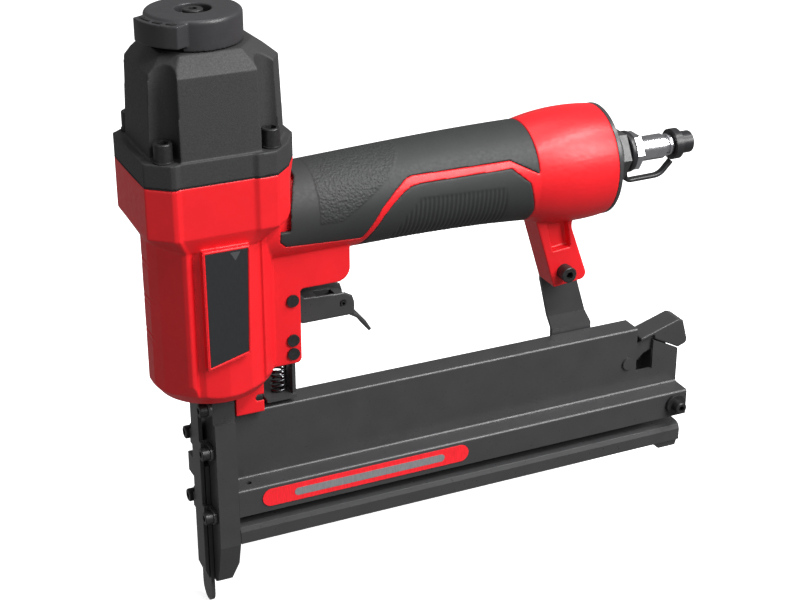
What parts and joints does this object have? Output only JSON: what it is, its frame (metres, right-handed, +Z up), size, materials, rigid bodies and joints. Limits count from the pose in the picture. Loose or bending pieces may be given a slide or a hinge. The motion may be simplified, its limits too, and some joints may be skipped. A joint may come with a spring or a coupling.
{
  "type": "pneumatic brad nailer",
  "caption": "Air-powered brad nailer with a rubber gripped handle, a trigger, a contact safety on the nose and a long rear-loading magazine.",
  "frame": {"origin": "on the drive axis where the driver leaves the nose", "axes": "+Z up along the drive axis towards the cap; +X back along the handle and magazine towards the air inlet; +Y across the tool"},
  "size_m": [0.2572, 0.054, 0.2603],
  "materials": {
    "red_paint": "satin",
    "black_coat": "satin",
    "cap_black": "matte fine grain",
    "grip_rubber": "matte",
    "deflector_plastic": "satin",
    "black_steel": "black oxide",
    "chrome": "polished",
    "steel": "ground",
    "aluminium": "machined",
    "seal_rubber": "matte",
    "black_plastic": "satin",
    "label_black": "printed film",
    "label_red": "printed film",
    "window_grey": "smooth",
    "brass": "machined",
    "filter_foam": "open cell"
  },
  "bodies": {
    "tool": {"body_housing": "red_paint", "grip_upper": "grip_rubber", "grip_lower": "grip_rubber", "cylinder_cap": "cap_black", "cap_gasket": "seal_rubber", "cap_screws": "black_steel", "cap_washers": "black_steel", "deflector_washer": "black_steel", "deflector_screw": "black_steel", "exhaust_silencer": "filter_foam", "head_valve_spring": "steel", "cylinder_sleeve": "aluminium", "cylinder_o_rings": "seal_rubber", "cylinder_seal": "seal_rubber", "bumper": "seal_rubber", "nose_block": "black_coat", "front_plate": "black_coat", "nose_screws": "black_steel", "nose_mount_screws": "black_steel", "safety_spring": "steel", "trigger_pin": "black_steel", "guide_pins": "black_steel", "trigger_valve_body": "black_plastic", "trigger_valve_o_ring": "seal_rubber", "trigger_valve_spring": "steel", "magazine_body": "black_coat", "latch_pins": "black_coat", "rear_strap": "black_coat", "air_plug": "chrome", "end_cap": "black_coat", "end_cap_o_ring": "seal_rubber", "air_filter": "filter_foam", "dust_cap_strap": "black_plastic", "strap_screw": "black_steel", "strap_nut": "steel", "magazine_bracket_screw": "black_steel", "end_screw_washer": "black_steel", "end_screw": "black_steel", "side_plates": "label_black", "magazine_label": "label_red", "magazine_window": "window_grey"},
    "deflector": {"exhaust_deflector": "deflector_plastic"},
    "head_valve": {"head_valve": "aluminium", "head_valve_o_ring": "seal_rubber"},
    "piston": {"piston": "aluminium", "piston_o_ring": "seal_rubber", "driver_blade": "steel"},
    "contact": {"contact_arm": "black_coat", "safety_bracket": "black_coat"},
    "trigger": {"trigger": "black_coat", "trip_lever_pin": "black_steel"},
    "trip_lever": {"trip_lever": "black_coat"},
    "valve_stem": {"trigger_valve_stem": "brass"},
    "slide": {"magazine_slide": "black_coat", "pusher_guide_rod": "steel", "pusher_spring": "steel"},
    "pusher": {"pusher": "black_steel"},
    "latch": {"latch_lever": "black_coat"},
    "dust_cap": {"dust_cap": "black_plastic"}
  },
  "joints": [
    {"name": "deflector_turn", "type": "hinge", "parent": "tool", "child": "deflector", "pos_m": [0, 0, 0.242], "axis": [0, 0, 1], "continuous": true},
    {"name": "head_valve_lift", "type": "slide", "parent": "tool", "child": "head_valve", "axis": [0, 0, 1], "range_m": [0, 0.003], "stiffness_N_per_m": 900, "springref_m": -0.002, "deforming": ["head_valve_spring"]},
    {"name": "piston_drive", "type": "slide", "parent": "tool", "child": "piston", "axis": [0, 0, -1], "range_m": [0, 0.074]},
    {"name": "contact_press", "type": "slide", "parent": "tool", "child": "contact", "axis": [0, 0, 1], "range_m": [0, 0.008], "stiffness_N_per_m": 600, "springref_m": -0.008, "deforming": ["safety_spring"]},
    {"name": "trigger_pull", "type": "hinge", "parent": "tool", "child": "trigger", "pos_m": [0.0318, 0, 0.1269], "axis": [0, -1, 0], "range_deg": [0, 10], "stiffness_Nm_per_rad": 0.8, "springref_deg": -8.59},
    {"name": "valve_stem_lift", "type": "slide", "parent": "tool", "child": "valve_stem", "axis": [0, 0, 1], "range_m": [0, 0.0024], "deforming": ["trigger_valve_spring"]},
    {"name": "trip_lever_tilt", "type": "hinge", "parent": "trigger", "child": "trip_lever", "pos_m": [0.0559, 0, 0.119], "axis": [0, 1, 0], "range_deg": [0, 8], "stiffness_Nm_per_rad": 0.05, "springref_deg": -5.73},
    {"name": "magazine_open", "type": "slide", "parent": "tool", "child": "slide", "axis": [1, 0, 0], "range_m": [0, 0.15]},
    {"name": "pusher_slide", "type": "slide", "parent": "slide", "child": "pusher", "axis": [1, 0, 0], "range_m": [0, 0.12], "stiffness_N_per_m": 60, "springref_m": -0.03, "deforming": ["pusher_spring"]},
    {"name": "latch_press", "type": "hinge", "parent": "tool", "child": "latch", "pos_m": [0.1967, 0, 0.0609], "axis": [0, -1, 0], "range_deg": [0, 8], "stiffness_Nm_per_rad": 0.6, "springref_deg": -11.46},
    {"name": "dust_cap_pull", "type": "slide", "parent": "tool", "child": "dust_cap", "axis": [1, 0, 0], "range_m": [0, 0.015]}
  ],
  "couplings": [
    {"joint": "valve_stem_lift", "follows": "trigger_pull", "m_per_rad": 0.0132}
  ]
}
